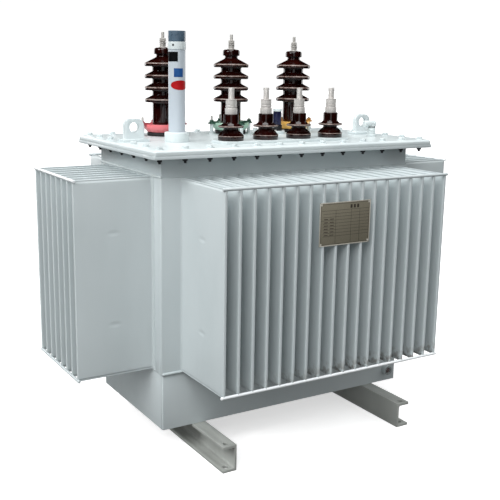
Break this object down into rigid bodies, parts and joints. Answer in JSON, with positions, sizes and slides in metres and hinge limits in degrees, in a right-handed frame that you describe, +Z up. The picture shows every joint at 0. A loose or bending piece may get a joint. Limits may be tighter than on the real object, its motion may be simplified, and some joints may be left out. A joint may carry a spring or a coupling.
{
  "type": "power transformer",
  "caption": "Oil-filled distribution transformer: corrugated fin tank on channel rails, bolted lid, brown porcelain bushings, gauge pipe and lifting lugs.",
  "frame": {"origin": "middle of the footprint, on the ground under the rails", "axes": "+X along the long side to the right seen from the low voltage side, +Y towards the high voltage bushings, +Z up"},
  "size_m": [1.366, 0.948, 1.2396],
  "materials": {
    "tank_paint": "semi-gloss grey paint",
    "lid_paint": "semi-gloss pale grey paint",
    "porcelain": "glazed dark brown porcelain",
    "phase_red": "red phase colour",
    "phase_green": "green phase colour",
    "phase_yellow": "yellow phase colour",
    "terminal_metal": "plated threaded terminal",
    "plate_metal": "bronze toned rating plate",
    "blue_plastic": "dark blue knob",
    "gauge_dark": "dark blue grey sight cap",
    "valve_steel": "painted valve"
  },
  "bodies": {
    "root": {"back_fin_wall": "tank_paint", "drain_valve": "valve_steel", "filler_valve": "lid_paint", "front_fin_wall": "tank_paint", "gauge_cap": "gauge_dark", "gauge_collar": "lid_paint", "gauge_pipe": "lid_paint", "gauge_socket": "lid_paint", "hv_bushing_1": "porcelain", "hv_bushing_2": "porcelain", "hv_bushing_3": "porcelain", "hv_flange_1": "phase_red", "hv_flange_2": "phase_green", "hv_flange_3": "phase_yellow", "hv_terminal_1": "terminal_metal", "hv_terminal_2": "terminal_metal", "hv_terminal_3": "terminal_metal", "left_fin_wall": "tank_paint", "lid": "lid_paint", "lifting_lug_left": "lid_paint", "lifting_lug_right": "lid_paint", "lower_back_plate": "tank_paint", "lower_front_plate": "tank_paint", "lower_left_plate": "tank_paint", "lower_right_plate": "tank_paint", "lv_bushing_1": "porcelain", "lv_bushing_2": "porcelain", "lv_bushing_3": "porcelain", "lv_bushing_4": "porcelain", "lv_pad": "lid_paint", "lv_terminals": "terminal_metal", "neck_back": "tank_paint", "neck_front": "tank_paint", "neck_left": "tank_paint", "neck_right": "tank_paint", "rail_left": "tank_paint", "rail_right": "tank_paint", "rating_plate": "plate_metal", "right_fin_wall": "tank_paint", "tank_floor": "tank_paint", "tap_changer_base": "lid_paint", "tap_changer_cap": "blue_plastic"}
  },
  "joints": []
}
